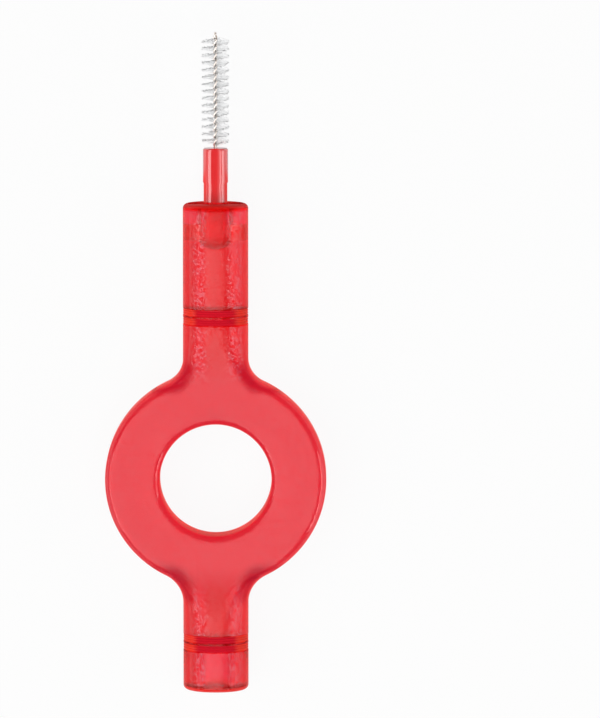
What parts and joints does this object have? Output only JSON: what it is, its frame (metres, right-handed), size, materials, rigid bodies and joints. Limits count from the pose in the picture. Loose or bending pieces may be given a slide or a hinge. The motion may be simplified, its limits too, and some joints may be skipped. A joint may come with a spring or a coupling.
{
  "type": "interdental brush",
  "caption": "Ring-shaped pocket holder with a tube at each end and a pull-out interdental brush: shank, twisted wire and rows of bristles.",
  "frame": {"origin": "centre of the finger hole, halfway through the ring's thickness", "axes": "+Y along the tubes towards the brush's tip, +X across the ring, +Z out of the ring's face"},
  "size_m": [0.02, 0.0596, 0.0058],
  "materials": {
    "holder_plastic": "frosted see-through red moulding",
    "shank_plastic": "glossy red moulding",
    "wire_steel": "twisted stainless wire",
    "bristle_nylon": "clear fine nylon filaments"
  },
  "bodies": {
    "holder": {"holder": "holder_plastic"},
    "brush": {"brush_shank": "shank_plastic", "twisted_wire": "wire_steel", "bristle_row_01": "bristle_nylon", "bristle_row_02": "bristle_nylon", "bristle_row_03": "bristle_nylon", "bristle_row_04": "bristle_nylon", "bristle_row_05": "bristle_nylon", "bristle_row_06": "bristle_nylon", "bristle_row_07": "bristle_nylon", "bristle_row_08": "bristle_nylon", "bristle_row_09": "bristle_nylon", "bristle_row_10": "bristle_nylon", "bristle_row_11": "bristle_nylon", "bristle_row_12": "bristle_nylon", "bristle_row_13": "bristle_nylon", "bristle_row_14": "bristle_nylon", "bristle_row_15": "bristle_nylon"}
  },
  "joints": [
    {"name": "brush_pull", "type": "slide", "parent": "holder", "child": "brush", "axis": [0, 1, 0], "range_m": [0, 0.005]}
  ]
}
